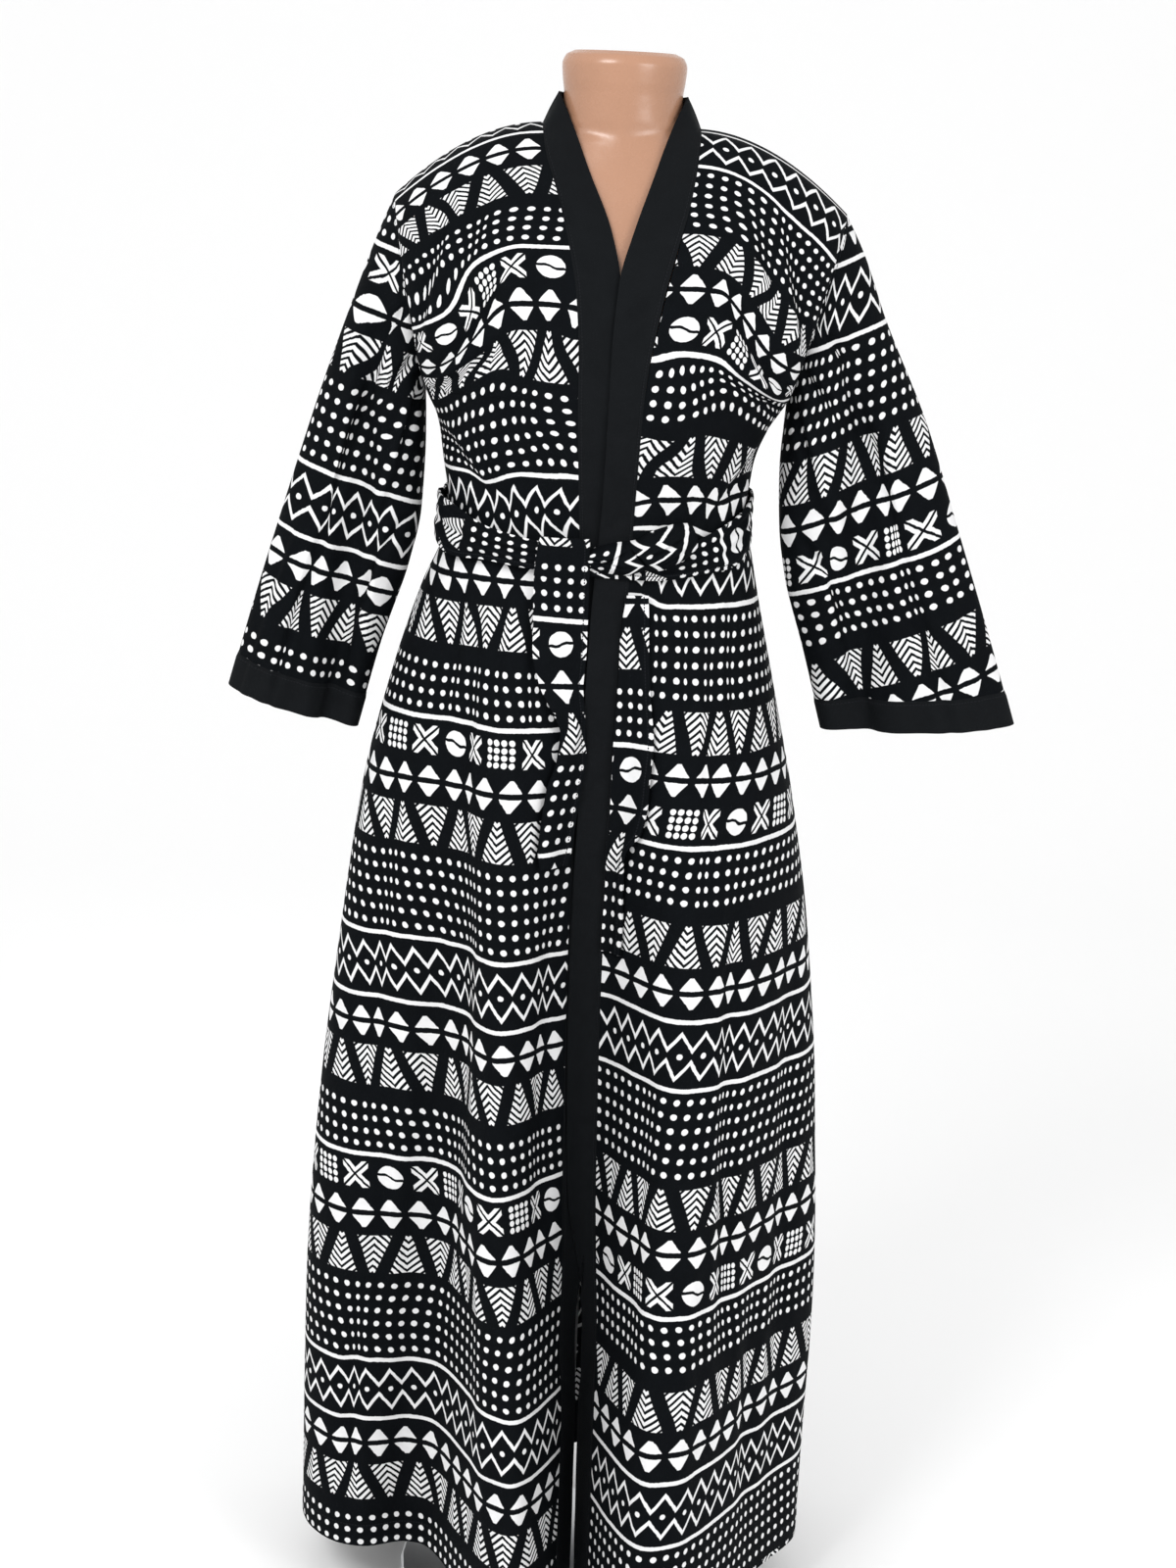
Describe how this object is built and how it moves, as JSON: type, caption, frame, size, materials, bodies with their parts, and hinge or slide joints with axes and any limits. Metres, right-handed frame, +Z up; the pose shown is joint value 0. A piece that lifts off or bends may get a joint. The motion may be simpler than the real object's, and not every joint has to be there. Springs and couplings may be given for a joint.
{
  "type": "kimono robe on a limbless dress form",
  "caption": "Floor-length wrap robe with wide sleeves, plain front bands and cuffs and a tied belt, worn by a limbless dress form on a pole stand.",
  "frame": {"origin": "on the floor, centre of the stand's round base", "axes": "+Z up, -Y to the front of the robe, +X to the wearer's left"},
  "size_m": [0.734, 0.4397, 1.483],
  "materials": {
    "printed_cotton": "black plain-weave cotton with a white geometric print",
    "black_cotton": "plain black cotton, folded double",
    "form_plastic": "smooth glossy tan",
    "stand_steel": "satin"
  },
  "bodies": {
    "root": {"back_panel": "printed_cotton", "front_right": "printed_cotton", "front_left": "printed_cotton", "sleeve_right": "printed_cotton", "sleeve_left": "printed_cotton", "belt_waist": "printed_cotton", "belt_knot": "printed_cotton", "belt_end_right": "printed_cotton", "belt_end_left": "printed_cotton", "neck_band": "black_cotton", "front_band_right": "black_cotton", "front_band_left": "black_cotton", "cuff_right": "black_cotton", "cuff_left": "black_cotton", "form_torso": "form_plastic", "form_pole": "stand_steel", "form_base": "stand_steel"}
  },
  "joints": []
}
